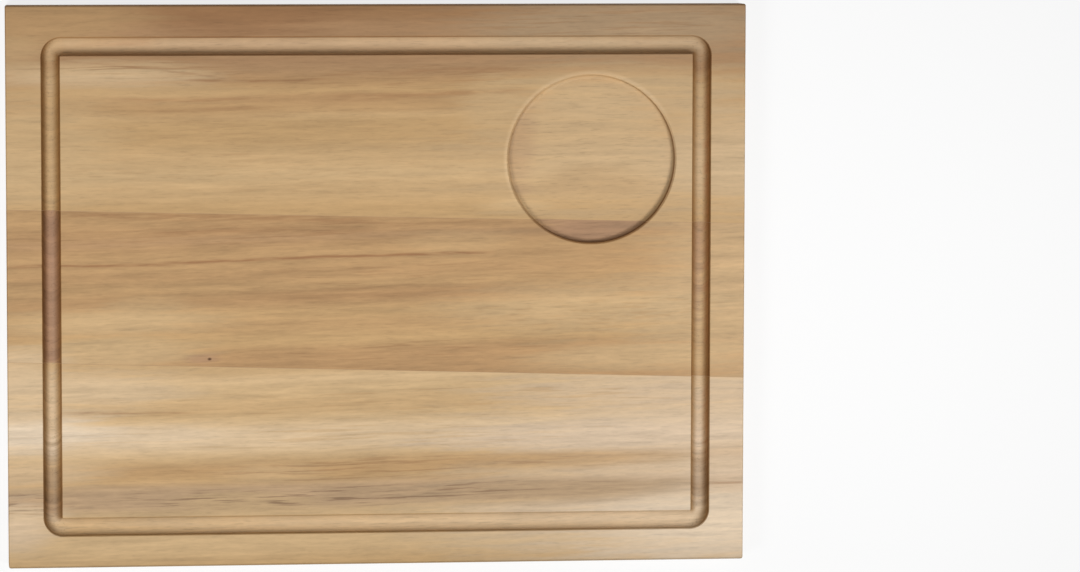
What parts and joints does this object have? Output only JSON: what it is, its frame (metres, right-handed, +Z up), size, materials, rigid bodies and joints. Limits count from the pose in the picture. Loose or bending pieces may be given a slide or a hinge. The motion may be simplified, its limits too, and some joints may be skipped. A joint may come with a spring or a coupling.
{
  "type": "steak board",
  "caption": "Rectangular wooden steak board glued up from wide staves, with a juice groove around its upper face and a round recess for a sauce pot.",
  "frame": {"origin": "middle of the flat underside, which the board rests on", "axes": "+X along the grain and the long edges, towards the end that has the recess; +Y from the front edge to the back edge; +Z up through the thickness, out of the grooved face"},
  "size_m": [0.33, 0.25, 0.015],
  "materials": {
    "back_wood": "oiled, satin",
    "middle_wood": "oiled, satin",
    "front_wood": "oiled, satin",
    "glue": "cured, sanded flush"
  },
  "bodies": {
    "root": {"back_stave": "back_wood", "middle_stave": "middle_wood", "front_stave": "front_wood", "back_glue_line": "glue", "front_glue_line": "glue"}
  },
  "joints": []
}
